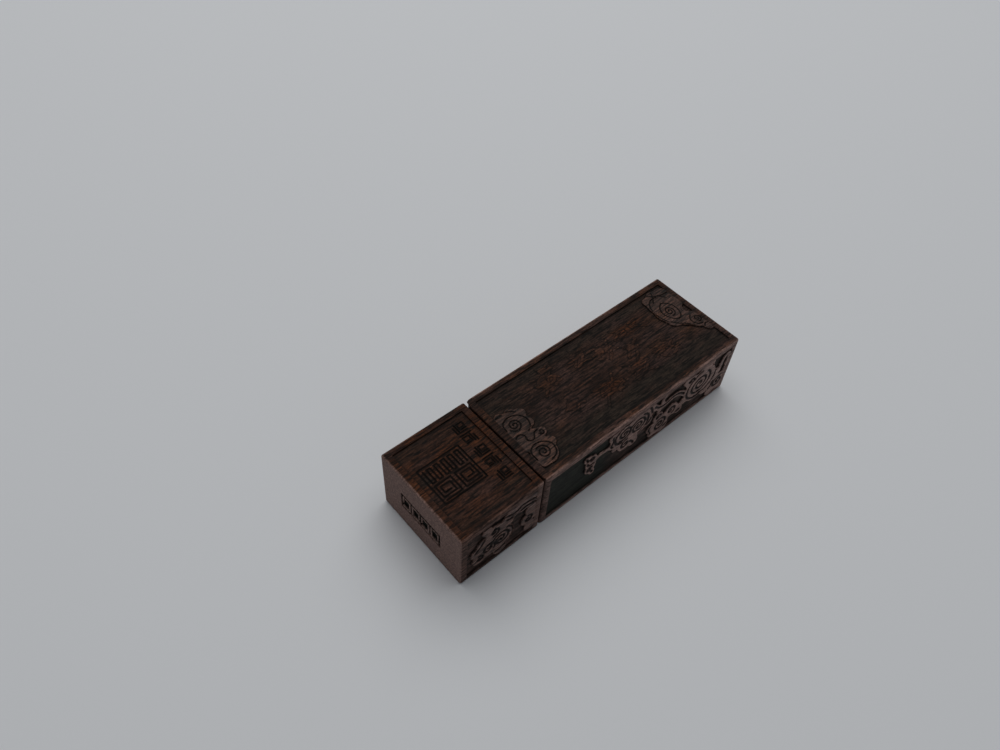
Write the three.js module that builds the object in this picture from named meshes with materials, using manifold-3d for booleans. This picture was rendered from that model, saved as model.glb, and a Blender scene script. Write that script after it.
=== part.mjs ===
// A carved rosewood flash drive with a pull-off cap, in millimetres.
// Two wooden blocks meet at a thin seam. The long one is milled with a slot that holds the circuit board
// and the stamped steel plug, and the short one is the cap, with a pocket over the plug. Small disc
// magnets in the two meeting faces hold the cap on.
// X runs from the cap's end (-) to the tail (+), Y across, Z up. The origin is under the middle of the closed
// drive, on the surface that it lies on.
import * as THREE from "three";
import { mergeVertices } from "three/addons/utils/BufferGeometryUtils.js";
import Module from "manifold-3d";

const wasm = await Module();
wasm.setup();

// ---------------------------------------------------------------- driving dimensions

// The two wooden blocks.
const blockWidth = 21.7; // Y
const blockHeight = 14.7; // Z
const capLength = 18.05; // X
const bodyLength = 51.65; // X
const seamGap = 0.3; // between the blocks when the cap is on
const longEdgeRadius = 0.5; // the four edges along X
const endCornerRadius = 0.4; // upright edges of the two free ends
const endEdgeRadius = 0.4; // level edges of the two free ends
const capSeamCornerRadius = 0.4; // upright edges at the seam
const bodyNearSeamCornerRadius = 0.9;
const bodyFarSeamCornerRadius = 1.8; // worn rounder than the others
const seamEdgeRadius = 0.2; // level edges at the seam
const arcSegments = 5; // facets in each rounded edge

// Sunk panels, which leave a raised border round each carved face.
const borderWidth = 1.4;
const footBorderWidth = 0.8; // along the bottom of the sides
const broadPanelDepth = 0.4; // top and underside
const sidePanelDepth = 0.5;

// The sunk plate in the cap's end.
const plateWidth = 10.9; // Y
const plateHeight = 4.3; // Z
const plateDepth = 0.5; // X

// The plug, to the usual type A sizes.
const plugWidth = 12; // Y, outside the shell
const plugHeight = 4.5; // Z, outside the shell
const plugReach = 12; // out of the body
const plugGrip = 5; // inside the body
const sheetThickness = 0.3;
const shellCornerRadius = 0.6;
const windowSide = 2.3; // the four square latch windows
const windowFromNose = 5.2; // nose to the windows' front edge
const windowPitch = 5.7; // between the two windows' centres, across Y
const legLength = 2.6; // board lugs at the back of the shell
const legHeight = 1.4;

// The plastic tongue and its four contacts.
const tongueThickness = 1.9;
const tongueSetback = 0.5; // nose of the shell to nose of the tongue
const tongueBaseReach = 2.2; // how far the tongue's thick root comes out of the body
const contactWidth = 1;
const contactThickness = 0.2;
const contactPitches = [3.5, 1, -1, -3.5]; // power, data, data, ground, across Y
const powerContactSetback = 1.3; // nose of the shell to the outer two contacts
const dataContactSetback = 2.3; // the inner two meet the socket later
const contactTail = 2.3; // soldered length on the board

// The circuit board.
const boardLength = 34;
const boardInset = 0; // each long edge of the board, in from the plug's side
const boardThickness = 0.8;

// What is soldered to the board. Length runs along the leads' own direction.
const flashSize = { length: 18.4, width: 12, height: 1, standoff: 0.1, reach: 0.8 };
const controllerSize = { length: 7, width: 7, height: 1.4, standoff: 0.1, reach: 1 };
const crystalSize = { diameter: 2, length: 6 };
const lampSize = { length: 2, width: 1.25, height: 0.85 };
const smallChip = { length: 1.6, width: 0.8, height: 0.45 };
const largeChip = { length: 2, width: 1.25, height: 1.1 };
const chipGap = 0.6; // between neighbours along the board
const chipColumn = 3.4; // between columns of small parts, across Y

// Disc magnets, a pair in each meeting face.
const magnetDiameter = 2;
const magnetThickness = 2;
const magnetSink = 0.1; // below the wooden face

// Clearances.
const woodClearance = 0.25; // round the plug and the board, in the slot and in the cap
const capEndClearance = 2.3; // beyond the plug's nose in the cap
const boardEndClearance = 0.7; // behind the board in the slot
const partClearance = 0.15; // between pieces of the plug
const magnetClearance = 0.1; // round a magnet and behind it
const notchClearance = 0.2; // between the shell's lugs and the board
const solderGap = 0.05; // under everything soldered to the board

// ---------------------------------------------------------------- derived places

const overallLength = capLength + seamGap + bodyLength;
const capMouthX = -overallLength / 2 + capLength;
const bodyFaceX = capMouthX + seamGap;
const middleZ = blockHeight / 2; // the plug's centre line
const boardFrontX = plugGrip + woodClearance; // from the body's face

// Heights inside the plug, from its centre line.
const shellInnerHalfHeight = plugHeight / 2 - sheetThickness;
const shellInnerHalfWidth = plugWidth / 2 - sheetThickness;
const tongueBottom = -shellInnerHalfHeight + partClearance;
const tongueTop = tongueBottom + tongueThickness;
const contactTop = tongueTop + solderGap; // stands a hair proud of the tongue
const contactBottom = contactTop - contactThickness;
const boardTop = contactBottom - solderGap;
const boardBottom = boardTop - boardThickness;
const tallestPart = Math.max(controllerSize.standoff + controllerSize.height, crystalSize.diameter);
const stackTop = boardTop + solderGap + tallestPart;
const stackBottom = boardBottom - solderGap - flashSize.standoff - flashSize.height;

const boardWidth = plugWidth - 2 * boardInset;

// The slot in the body clears the plug and the loaded board, and the pocket in the cap clears the plug.
const slotHalfWidth = Math.max(plugWidth, boardWidth, flashSize.width) / 2 + woodClearance;
const slotHalfHeight = Math.max(plugHeight / 2, stackTop, -stackBottom) + woodClearance;
const slotDepth = boardFrontX + boardLength + boardEndClearance;
const pocketHalfWidth = plugWidth / 2 + woodClearance;
const pocketHalfHeight = plugHeight / 2 + woodClearance;
const pocketDepth = plugReach - seamGap + capEndClearance;

// Each magnet sits midway between the slot's side and the floor of the side panel.
const magnetY = (slotHalfWidth + blockWidth / 2 - sidePanelDepth) / 2;

// ---------------------------------------------------------------- materials

function finish(color, roughness, metalness) {
  return new THREE.MeshStandardMaterial({ color, roughness, metalness });
}
const rosewood = finish(0x4a2c20, 0.55, 0);
const nickelSteel = finish(0xb9bcc0, 0.3, 1);
const whitePlastic = finish(0xe8e6df, 0.45, 0);
const goldPlate = finish(0xd8a741, 0.25, 1);
const solderMask = finish(0x14532f, 0.5, 0);
const blackEpoxy = finish(0x1b1b1d, 0.6, 0);
const brightNickel = finish(0xc9ccd0, 0.2, 1);
const tanCeramic = finish(0xa5835b, 0.6, 0);
const blackCeramic = finish(0x222224, 0.5, 0);
const clearLens = finish(0xdfe9f2, 0.15, 0);

// ---------------------------------------------------------------- solids

const weldDistance = 1e-4;

function solidOf(geometry) {
  const bare = geometry.clone();
  bare.deleteAttribute("normal");
  bare.deleteAttribute("uv");
  const welded = mergeVertices(bare, weldDistance);
  return new wasm.Manifold(
    new wasm.Mesh({
      numProp: 3,
      vertProperties: new Float32Array(welded.getAttribute("position").array),
      triVerts: new Uint32Array(welded.index.array),
    }),
  );
}

function geometryOf(solid) {
  const mesh = solid.getMesh();
  const geometry = new THREE.BufferGeometry();
  geometry.setAttribute("position", new THREE.BufferAttribute(mesh.vertProperties, 3));
  geometry.setIndex(new THREE.BufferAttribute(mesh.triVerts, 1));
  geometry.computeVertexNormals();
  return geometry;
}

const join = (first, ...others) => others.reduce((whole, next) => whole.add(next), first);
const cut = (first, ...others) => others.reduce((whole, next) => whole.subtract(next), first);
const common = (first, ...others) => others.reduce((whole, next) => whole.intersect(next), first);

// A box between two corners.
function box(low, high) {
  const size = high.map((value, axis) => value - low[axis]);
  const middle = high.map((value, axis) => (value + low[axis]) / 2);
  return solidOf(new THREE.BoxGeometry(...size).translate(...middle));
}

// A rectangle with a radius at each corner, in the order low-low, high-low, high-high, low-high.
function roundedRectangle([u0, u1], [v0, v1], [a, b, c, d]) {
  const quarter = Math.PI / 2;
  const outline = new THREE.Shape();
  outline.moveTo(u0 + a, v0);
  outline.lineTo(u1 - b, v0);
  outline.absarc(u1 - b, v0 + b, b, -quarter, 0, false);
  outline.lineTo(u1, v1 - c);
  outline.absarc(u1 - c, v1 - c, c, 0, quarter, false);
  outline.lineTo(u0 + d, v1);
  outline.absarc(u0 + d, v1 - d, d, quarter, 2 * quarter, false);
  outline.lineTo(u0, v0 + a);
  outline.absarc(u0 + a, v0 + a, a, 2 * quarter, 3 * quarter, false);
  return outline;
}

// An outline made solid along one axis. It is drawn in the two axes that follow that one: Y and Z for X,
// Z and X for Y, X and Y for Z.
const axes = {
  x: [new THREE.Vector3(0, 1, 0), new THREE.Vector3(0, 0, 1), new THREE.Vector3(1, 0, 0)],
  y: [new THREE.Vector3(0, 0, 1), new THREE.Vector3(1, 0, 0), new THREE.Vector3(0, 1, 0)],
  z: [new THREE.Vector3(1, 0, 0), new THREE.Vector3(0, 1, 0), new THREE.Vector3(0, 0, 1)],
};
function prism(outline, axis, [from, to]) {
  const settings = { depth: to - from, bevelEnabled: false, curveSegments: arcSegments };
  const geometry = new THREE.ExtrudeGeometry(outline, settings).translate(0, 0, from);
  return solidOf(geometry.applyMatrix4(new THREE.Matrix4().makeBasis(...axes[axis])));
}

// A round disc or wire along X, Y or Z, centred on the given point.
const roundSides = 28;
function rod(axis, diameter, length, centre, sides = roundSides) {
  const geometry = new THREE.CylinderGeometry(diameter / 2, diameter / 2, length, sides);
  if (axis === "x") geometry.rotateZ(Math.PI / 2);
  if (axis === "z") geometry.rotateX(Math.PI / 2);
  return solidOf(geometry.translate(...centre));
}

function place(group, name, solid, material) {
  const mesh = new THREE.Mesh(geometryOf(solid), material);
  mesh.name = name;
  group.add(mesh);
  return mesh;
}

// ---------------------------------------------------------------- the wooden blocks

// A block with every edge eased: the common part of three prisms, one along each axis. Corner radii are given
// in the order of roundedRectangle, and edge radii for the low-X end and the high-X end.
function easedBlock([x0, x1], corners, edge) {
  const y = [-blockWidth / 2, blockWidth / 2];
  const z = [-blockHeight / 2, blockHeight / 2];
  const long = Array(4).fill(longEdgeRadius);
  return common(
    prism(roundedRectangle(y, z, long), "x", [x0, x1]),
    prism(roundedRectangle(z, [x0, x1], [edge[0], edge[0], edge[1], edge[1]]), "y", y),
    prism(roundedRectangle([x0, x1], y, corners), "z", z),
  );
}

// What is milled off the four long faces, inside the raised borders.
function panelCuts([x0, x1]) {
  const beyond = 1; // the cutters start outside the wood
  const a = x0 + borderWidth;
  const b = x1 - borderWidth;
  const y = blockWidth / 2;
  const z = blockHeight / 2;
  return [
    box([a, -y + borderWidth, z - broadPanelDepth], [b, y - borderWidth, z + beyond]),
    box([a, -y + borderWidth, -z - beyond], [b, y - borderWidth, -z + broadPanelDepth]),
    box([a, y - sidePanelDepth, -z + footBorderWidth], [b, y + beyond, z - borderWidth]),
    box([a, -y - beyond, -z + footBorderWidth], [b, -y + sidePanelDepth, z - borderWidth]),
  ];
}

// Blind bores for the magnets, in a face at x = 0. Side is -1 for wood on the low-X side, 1 for the other.
function magnetCuts(side) {
  const depth = magnetSink + magnetThickness + magnetClearance;
  const beyond = 1;
  const centreX = (side * (depth - beyond)) / 2;
  const diameter = magnetDiameter + 2 * magnetClearance;
  return [1, -1].map((hand) => rod("x", diameter, depth + beyond, [centreX, hand * magnetY, 0]));
}

function capBlock() {
  const length = [-capLength, 0];
  const corners = [endCornerRadius, capSeamCornerRadius, capSeamCornerRadius, endCornerRadius];
  const wood = easedBlock(length, corners, [endEdgeRadius, seamEdgeRadius]);
  const pocket = box(
    [-pocketDepth, -pocketHalfWidth, -pocketHalfHeight],
    [1, pocketHalfWidth, pocketHalfHeight],
  );
  const plate = box(
    [-capLength - 1, -plateWidth / 2, -plateHeight / 2],
    [-capLength + plateDepth, plateWidth / 2, plateHeight / 2],
  );
  return cut(wood, pocket, plate, ...panelCuts(length), ...magnetCuts(-1));
}

function bodyBlock() {
  const length = [0, bodyLength];
  const corners = [bodyNearSeamCornerRadius, endCornerRadius, endCornerRadius, bodyFarSeamCornerRadius];
  const wood = easedBlock(length, corners, [seamEdgeRadius, endEdgeRadius]);
  const slot = box([-1, -slotHalfWidth, -slotHalfHeight], [slotDepth, slotHalfWidth, slotHalfHeight]);
  return cut(wood, slot, ...panelCuts(length), ...magnetCuts(1));
}

// ---------------------------------------------------------------- the plug

function plugShell() {
  const x = [-plugReach, plugGrip];
  const outerRadii = Array(4).fill(shellCornerRadius);
  const innerRadii = Array(4).fill(shellCornerRadius - sheetThickness);
  const y = plugWidth / 2;
  const z = plugHeight / 2;
  const outer = prism(roundedRectangle([-y, y], [-z, z], outerRadii), "x", x);
  const innerY = [-shellInnerHalfWidth, shellInnerHalfWidth];
  const innerZ = [-shellInnerHalfHeight, shellInnerHalfHeight];
  const inner = prism(roundedRectangle(innerY, innerZ, innerRadii), "x", [x[0] - 1, x[1] + 1]);
  const windowFront = -plugReach + windowFromNose;
  const windows = [1, -1].map((hand) => {
    const centre = (hand * windowPitch) / 2;
    return box(
      [windowFront, centre - windowSide / 2, -z - 1],
      [windowFront + windowSide, centre + windowSide / 2, z + 1],
    );
  });
  const boardMiddle = (boardTop + boardBottom) / 2;
  const root = 0.5; // how far each lug overlaps the side wall that it grows from
  const legs = [1, -1].map((hand) => {
    const faces = [hand * shellInnerHalfWidth, hand * y].sort((a, b) => a - b);
    return box(
      [plugGrip - root, faces[0], boardMiddle - legHeight / 2],
      [plugGrip + legLength, faces[1], boardMiddle + legHeight / 2],
    );
  });
  return join(cut(outer, inner, ...windows), ...legs);
}

// A flat tongue that grows from a thick root, with an open channel for each contact.
function plugTongue() {
  const y = shellInnerHalfWidth - partClearance;
  const top = shellInnerHalfHeight - partClearance;
  const noseX = -plugReach + tongueSetback;
  const blade = box([noseX, -y, tongueBottom], [plugGrip, y, tongueTop]);
  const root = box([-tongueBaseReach, -y, tongueBottom], [plugGrip, y, top]);
  const channelHalf = contactWidth / 2 + partClearance;
  const channels = contactPitches.map((centre) =>
    box(
      [-plugReach + powerContactSetback - partClearance, centre - channelHalf, contactBottom - partClearance],
      [plugGrip + 1, centre + channelHalf, contactTop + partClearance],
    ),
  );
  return cut(join(blade, root), ...channels);
}

// A flat strip with its front end turned down into the tongue's channel.
function contact(setback) {
  const front = -plugReach + setback;
  const back = boardFrontX + contactTail;
  const strip = box([front, -contactWidth / 2, contactBottom], [back, contactWidth / 2, contactTop]);
  const turnedEnd = partClearance / 2;
  const lip = box(
    [front, -contactWidth / 2, contactBottom - turnedEnd],
    [front + 2 * contactThickness, contactWidth / 2, contactTop],
  );
  return join(strip, lip);
}

// ---------------------------------------------------------------- the board and what is soldered to it

// Drawn with its front edge at x = 0 and its upper face at z = 0.
function circuitBoard() {
  const half = boardWidth / 2;
  const sheet = box([0, -half, -boardThickness], [boardLength, half, 0]);
  const notchDepth = legLength + plugGrip - boardFrontX + notchClearance;
  const notchInner = shellInnerHalfWidth - notchClearance;
  const notches = [1, -1].map((hand) => {
    const faces = [hand * notchInner, hand * (half + 1)].sort((a, b) => a - b);
    return box([-1, faces[0], -boardThickness - 1], [notchDepth, faces[1], 1]);
  });
  return cut(sheet, ...notches);
}

// One gull-wing lead along +X, from inside the package out to its foot on the board.
function gullWing(rootX, reach, shoulderZ, width, thickness) {
  const kneeX = rootX + reach * 0.35;
  const footX = rootX + reach * 0.6;
  const outline = new THREE.Shape(
    [
      [shoulderZ + thickness, rootX],
      [shoulderZ + thickness, kneeX + thickness],
      [thickness, footX + thickness],
      [thickness, rootX + reach],
      [0, rootX + reach],
      [0, footX],
      [shoulderZ, kneeX],
      [shoulderZ, rootX],
    ].map(([z, x]) => new THREE.Vector2(z, x)),
  );
  return prism(outline, "y", [-width / 2, width / 2]);
}

// A moulded package with leads on the given sides. Sides are quarter turns about Z.
function leadedChip({ length, width, height, standoff, sides, leads, pitch, leadWidth, reach }) {
  const leadThickness = 0.13;
  const bury = 0.3; // how far each lead runs into the moulding
  const draftedTop = 0.12;
  const low = [-length / 2, -width / 2];
  const high = [length / 2, width / 2];
  const lower = box([...low, standoff], [...high, standoff + height - draftedTop]);
  const upper = box(
    [low[0] + draftedTop, low[1] + draftedTop, standoff + height / 2],
    [high[0] - draftedTop, high[1] - draftedTop, standoff + height],
  );
  const row = sides.flatMap((turns) => {
    const halfSpan = (turns % 2 ? width : length) / 2;
    const lead = gullWing(halfSpan - bury, reach + bury, standoff + height / 2, leadWidth, leadThickness);
    return Array.from({ length: leads }, (_, index) =>
      lead.translate([0, (index - (leads - 1) / 2) * pitch, 0]).rotate([0, 0, 90 * turns]),
    );
  });
  return join(lower, upper, ...row);
}

// Thin 48-lead memory package, with its leads along the two short ends.
function flashChip() {
  return leadedChip({ ...flashSize, sides: [0, 2], leads: 24, pitch: 0.5, leadWidth: 0.22 });
}

// Square 48-lead controller package.
function controllerChip() {
  return leadedChip({ ...controllerSize, sides: [0, 1, 2, 3], leads: 12, pitch: 0.5, leadWidth: 0.22 });
}

// A chip resistor, bead or capacitor: a ceramic block with a metal cap at each end.
function chipPart({ length, width, height }) {
  const capWidth = length * 0.2;
  const capStep = 0.03; // the end caps are this much thicker than the block
  const block = box(
    [-length / 2 + capStep, -width / 2 + capStep, capStep],
    [length / 2 - capStep, width / 2 - capStep, height - capStep],
  );
  const ends = [-1, 1].map((hand) => {
    const faces = [(hand * length) / 2, hand * (length / 2 - capWidth)].sort((a, b) => a - b);
    return box([faces[0], -width / 2, 0], [faces[1], width / 2, height]);
  });
  return join(block, ...ends);
}

// Tuning-fork style can lying along Y, with its two wires bent down to the board.
function crystalCan() {
  const wireHalf = 0.15;
  const wirePitch = 0.7;
  const wireReach = 0.9;
  const wireBury = 0.2; // into the can
  const axisZ = crystalSize.diameter / 2;
  const canEnd = crystalSize.length / 2;
  const can = rod("y", crystalSize.diameter, crystalSize.length, [0, 0, axisZ]);
  const wires = [-1, 1].flatMap((hand) => {
    const low = (hand * wirePitch) / 2 - wireHalf;
    const high = low + 2 * wireHalf;
    const tip = canEnd + wireReach;
    return [
      box([low, canEnd - wireBury, axisZ - wireHalf], [high, tip, axisZ + wireHalf]),
      box([low, tip - 2 * wireHalf, 0], [high, tip, axisZ]),
    ];
  });
  return join(can, ...wires);
}

// A chip lamp: a flat base with a clear lens on it.
function chipLamp({ length, width, height }) {
  const baseHeight = height / 2;
  const lensLength = length * 0.64;
  const base = box([-length / 2, -width / 2, 0], [length / 2, width / 2, baseHeight]);
  const lens = box([-lensLength / 2, -width / 2, baseHeight / 2], [lensLength / 2, width / 2, height]);
  return join(base, lens);
}

// ---------------------------------------------------------------- assembly

function magnets(group, side, prefix) {
  const centreX = side * (magnetSink + magnetThickness / 2);
  for (const [hand, label] of [[1, "left"], [-1, "right"]]) {
    const disc = rod("x", magnetDiameter, magnetThickness, [0, 0, 0]);
    place(group, `${prefix}_magnet_${label}`, disc, brightNickel).position.set(centreX, hand * magnetY, 0);
  }
}

// The cap, drawn from its mouth at x = 0 towards -X.
const cap = new THREE.Group();
cap.position.set(capMouthX, 0, middleZ);
place(cap, "cap_block", capBlock(), rosewood);
magnets(cap, -1, "cap");

// The body, drawn from its front face at x = 0 towards +X, with the plug reaching out along -X.
const body = new THREE.Group();
body.position.set(bodyFaceX, 0, middleZ);
place(body, "body_block", bodyBlock(), rosewood);
magnets(body, 1, "body");
place(body, "plug_shell", plugShell(), nickelSteel);
place(body, "plug_tongue", plugTongue(), whitePlastic);
const contactNames = ["contact_power", "contact_data_minus", "contact_data_plus", "contact_ground"];
contactNames.forEach((name, index) => {
  const outer = index === 0 || index === contactNames.length - 1;
  const strip = contact(outer ? powerContactSetback : dataContactSetback);
  place(body, name, strip, goldPlate).position.y = contactPitches[index];
});

// The board's upper face carries the controller and the small parts, in rows from the plug to the tail.
const board = new THREE.Group();
board.position.set(boardFrontX, 0, boardTop);
place(board, "circuit_board", circuitBoard(), solderMask);
const dataRowX = contactTail + chipGap + smallChip.width / 2;
const controllerSpan = controllerSize.length / 2 + controllerSize.reach;
const controllerX = dataRowX + smallChip.width / 2 + chipGap + controllerSpan;
const crystalX = controllerX + controllerSpan + chipGap + crystalSize.diameter / 2;
const loadRowX = crystalX + crystalSize.diameter / 2 + chipGap + smallChip.width / 2;
const supplyRowX = loadRowX + smallChip.width / 2 + chipGap + largeChip.width / 2;
const lampRowX = boardLength - lampSize.width;
const chips = [
  ["supply_bead", smallChip, blackCeramic, dataRowX, 1],
  ["data_resistor_minus", smallChip, blackCeramic, dataRowX, 0],
  ["data_resistor_plus", smallChip, blackCeramic, dataRowX, -1],
  ["crystal_capacitor_left", smallChip, tanCeramic, loadRowX, 1],
  ["crystal_capacitor_right", smallChip, tanCeramic, loadRowX, -1],
  ["supply_capacitor", largeChip, tanCeramic, supplyRowX, 1],
  ["core_capacitor", largeChip, tanCeramic, supplyRowX, -1],
  ["lamp_resistor", smallChip, blackCeramic, lampRowX, -1],
];
for (const [name, size, material, x, column] of chips) {
  const part = place(board, name, chipPart(size), material);
  part.rotation.z = Math.PI / 2;
  part.position.set(x, column * chipColumn, solderGap);
}
place(board, "controller_chip", controllerChip(), blackEpoxy).position.set(controllerX, 0, solderGap);
place(board, "crystal", crystalCan(), brightNickel).position.set(crystalX, 0, solderGap);
const lamp = place(board, "activity_lamp", chipLamp(lampSize), clearLens);
lamp.rotation.z = Math.PI / 2;
lamp.position.set(lampRowX, chipColumn / 2, solderGap);

// The memory chip hangs under the board.
const underside = new THREE.Group();
underside.position.z = -boardThickness;
underside.rotation.x = Math.PI;
place(underside, "flash_chip", flashChip(), blackEpoxy).position.set(boardLength / 2, 0, solderGap);
board.add(underside);
body.add(board);

const drive = new THREE.Group();
drive.add(cap, body);
export default drive;
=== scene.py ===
# A carved rosewood flash drive: a long block that holds the plug and its circuit board, and a short block
# that is the cap. Lengths are in millimetres in each section, and become metres when a mesh is finished.
import math

import bmesh
import bpy
import numpy as np
from mathutils import Matrix, Vector


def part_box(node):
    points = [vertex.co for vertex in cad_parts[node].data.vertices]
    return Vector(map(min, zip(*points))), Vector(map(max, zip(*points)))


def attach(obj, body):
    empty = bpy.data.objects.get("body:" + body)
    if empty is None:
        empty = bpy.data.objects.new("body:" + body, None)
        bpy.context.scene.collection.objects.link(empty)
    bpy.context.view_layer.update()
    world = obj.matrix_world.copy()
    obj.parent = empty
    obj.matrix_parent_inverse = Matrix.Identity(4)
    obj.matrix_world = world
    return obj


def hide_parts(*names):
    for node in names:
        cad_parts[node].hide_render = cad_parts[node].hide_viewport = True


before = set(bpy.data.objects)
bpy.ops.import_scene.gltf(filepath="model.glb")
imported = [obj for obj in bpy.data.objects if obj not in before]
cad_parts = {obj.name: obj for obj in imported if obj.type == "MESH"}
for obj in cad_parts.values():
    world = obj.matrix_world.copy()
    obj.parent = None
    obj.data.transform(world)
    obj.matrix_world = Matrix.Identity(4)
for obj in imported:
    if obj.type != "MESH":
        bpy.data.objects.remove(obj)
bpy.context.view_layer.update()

# ---------------------------------------------------------------- camera, floor and light
# The drive lies on pale matt card under one broad ceiling light, which hangs beyond its far corner. The
# camera looks down on it over the corner of the cap, from about fifteen centimetres away.
camera = bpy.data.objects.new("camera", bpy.data.cameras.new("camera"))
camera.data.sensor_width = 36
camera.data.lens = 29.76
camera.data.clip_start = 0.005
camera.location = (-0.0755, -0.0586, 0.1319)
camera.rotation_euler = [math.radians(angle) for angle in (39.68, -2.71, -40.84)]
bpy.context.scene.collection.objects.link(camera)
bpy.context.scene.camera = camera


def linear(hex_colour):
    """An sRGB hex colour as linear red, green, blue and alpha."""
    parts = [int(hex_colour[i : i + 2], 16) / 255 for i in (1, 3, 5)]
    return tuple(c / 12.92 if c <= 0.04045 else ((c + 0.055) / 1.055) ** 2.4 for c in parts) + (1.0,)


def add_node(tree, kind, settings=None, **links):
    """Adds a shader node with its settings, and fills its inputs from values, sockets or other nodes. An
    input is named, or numbered where its name is shared."""
    node = tree.nodes.new("ShaderNode" + kind)
    for name, value in (settings or {}).items():
        setattr(node, name, value)
    for name, value in links.items():
        numbered = name[1:].isdigit()
        socket = node.inputs[int(name[1:]) if numbered else name.replace("_", " ")]
        if isinstance(value, bpy.types.Node):
            value = next(output for output in value.outputs if output.enabled)
        if isinstance(value, bpy.types.NodeSocket):
            tree.links.new(value, socket)
        else:
            socket.default_value = value
    return node


def new_material(name):
    """An empty material with one Principled shader, and its node tree and shader."""
    material = bpy.data.materials.new(name)
    material.use_nodes = True
    tree = material.node_tree
    return material, tree, tree.nodes["Principled BSDF"]


def card_material():
    """Uncoated white card: matt, a little cool, with no pattern that shows."""
    material, tree, shader = new_material("uncoated_card")
    shader.inputs["Base Color"].default_value = linear("#dcdfe3")
    shader.inputs["Roughness"].default_value = 0.75
    return material


floor_side = 4.0
bm = bmesh.new()
bmesh.ops.create_grid(bm, x_segments=1, y_segments=1, size=floor_side / 2)
floor_mesh = bpy.data.meshes.new("floor")
bm.to_mesh(floor_mesh)
bm.free()
floor_mesh.materials.append(card_material())
floor = bpy.data.objects.new("floor", floor_mesh)
bpy.context.scene.collection.objects.link(floor)

ceiling = bpy.data.objects.new("ceiling_light", bpy.data.lights.new("ceiling_light", "AREA"))
ceiling.data.shape = "SQUARE"
ceiling.data.size = 1.05
ceiling.data.energy = 5.3
ceiling.data.color = (1.0, 0.985, 0.96)
ceiling.location = (0.2, 0.26, 0.75)
ceiling.rotation_euler = (Vector((0, 0, 0)) - ceiling.location).to_track_quat("-Z", "Y").to_euler()
bpy.context.scene.collection.objects.link(ceiling)

room = bpy.data.worlds.new("room")
room.use_nodes = True
room.node_tree.nodes["Background"].inputs["Color"].default_value = linear("#e9eef6")
room.node_tree.nodes["Background"].inputs["Strength"].default_value = 0.15
bpy.context.scene.world = room
bpy.context.scene.view_settings.view_transform = "Standard"

# ---------------------------------------------------------------- the carved wooden blocks
# Two blocks of rosewood with eased edges. Each long face is cut down inside a plain border, and scroll
# clouds stand at the old height in that ground, with fine lines cut into them. The ground was scorched dark.
edge_radius = {
    "cap_block": {"seam_near": 0.4, "seam_far": 0.4},
    "body_block": {"seam_near": 0.9, "seam_far": 1.8},
}
edge_radius_anywhere = {"upright": 0.4, "end": 0.4, "seam": 0.2, "long": 0.5}
border = 1.4
foot_border = 0.8  # along the bottom of the sides
broad_depth = 0.26  # of the ground below the border, on the top and the underside
side_depth = 0.42
wall_run = 0.1  # how far a wall leans over its depth
line_depth = 0.16  # of a cut, and more on the sides
side_line_depth = 0.34
line_half_width = 0.16
side_line_half_width = 0.34
bold = 0.04  # more on each side of the cuts in plain ground
ridge_height = 0.12
cell = 0.54  # of the plain surface
fine_cuts = 3  # extra lines across a cell that is carved
blend_radius = 0.22  # of the hollows where lobes of a cloud meet
cloud_margin = 0.1  # inside a cloud's edge, where its lines stop
ridge_reach = (0.42, 0.1)  # from a worn stroke's middle: no height, and full height
corner_shade_reach = (0.5, 0.1)  # from a panel's wall: no painted shade, and full painted shade
cloud_foot_shade_reach = (-0.45, -0.08)  # the same, out from a cloud's edge
end_lines = (0.15, 0.3, 0.45, 0.6)  # from each end, even lines that carry the wear
snap_share = 0.4  # of a small cell: how far a point moves onto a drawn line
far_off = 9.0  # stands for any distance beyond what is looked at

MM = 0.001


def corners_mm(node):
    low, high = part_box(node)
    return np.array(low) / MM, np.array(high) / MM


# --- how a drawing is put together


def spiral(centre, radius, turns, start, hand=1, stretch=1.0, eye=0.15):
    """A scroll's line, from its outside in to its eye. Start is an angle in degrees."""
    steps_per_turn, least_steps = 18, 8
    t = np.linspace(0, 1, int(steps_per_turn * turns) + least_steps)
    angle = math.radians(start) + hand * 2 * math.pi * turns * t
    reach = radius + (eye - radius) * t
    return np.stack([centre[0] + reach * np.cos(angle), centre[1] + stretch * reach * np.sin(angle)], 1)


def flowing(*points, steps=8):
    """A smooth line through given points."""
    p = np.array(points, float)
    p = np.vstack([2 * p[0] - p[1], p, 2 * p[-1] - p[-2]])
    t = np.linspace(0, 1, steps, endpoint=False)[:, None]
    runs = []
    for a, b, c, d in zip(p, p[1:], p[2:], p[3:]):
        bend = (2 * a - 5 * b + 4 * c - d) * t**2 + (3 * b - a - 3 * c + d) * t**3
        runs.append(0.5 * (2 * b + (c - a) * t + bend))
    return np.vstack(runs + [p[-2:-1]])


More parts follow.
